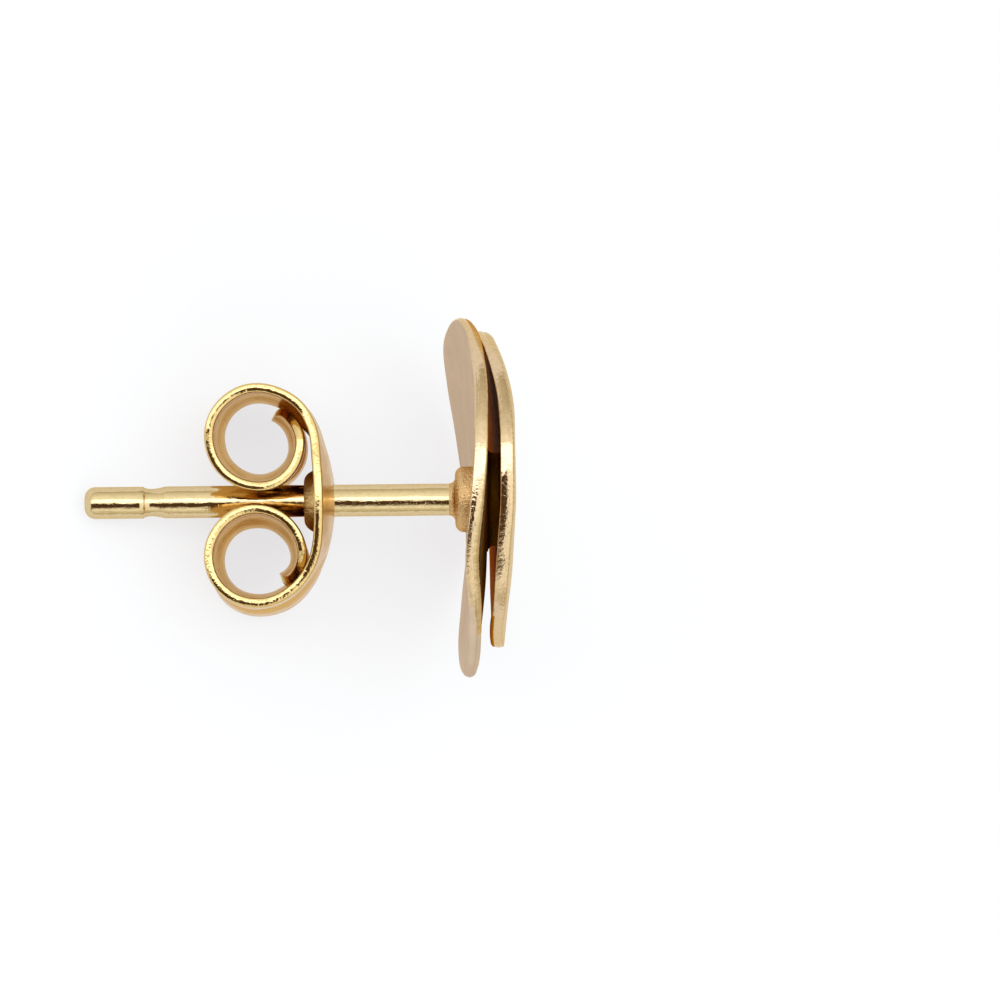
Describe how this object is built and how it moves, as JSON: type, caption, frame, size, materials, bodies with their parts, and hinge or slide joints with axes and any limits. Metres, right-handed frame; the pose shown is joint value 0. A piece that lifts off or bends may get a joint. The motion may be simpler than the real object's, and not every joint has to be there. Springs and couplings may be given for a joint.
{
  "type": "stud earring",
  "caption": "Stud earring of stacked, hand-formed gold discs with a radially brushed face, on a straight post with a sliding butterfly clutch.",
  "frame": {"origin": "on the surface that the earring lies on, under the middle of its box", "axes": "+Z up from that surface; +Y along the lying earring, from the discs to the tip of the post as seen from above; +X is up across the face as worn"},
  "size_m": [0.01, 0.0126, 0.0095],
  "materials": {
    "brushed_gold": "brushed",
    "polished_gold": "polished"
  },
  "bodies": {
    "stud": {"stud": "brushed_gold"},
    "clutch": {"butterfly_clutch": "polished_gold"}
  },
  "joints": [
    {"name": "clutch_slide", "type": "slide", "parent": "stud", "child": "clutch", "axis": [0, -0.9198, 0.3924], "range_m": [-0.0072, 0.0031]}
  ]
}
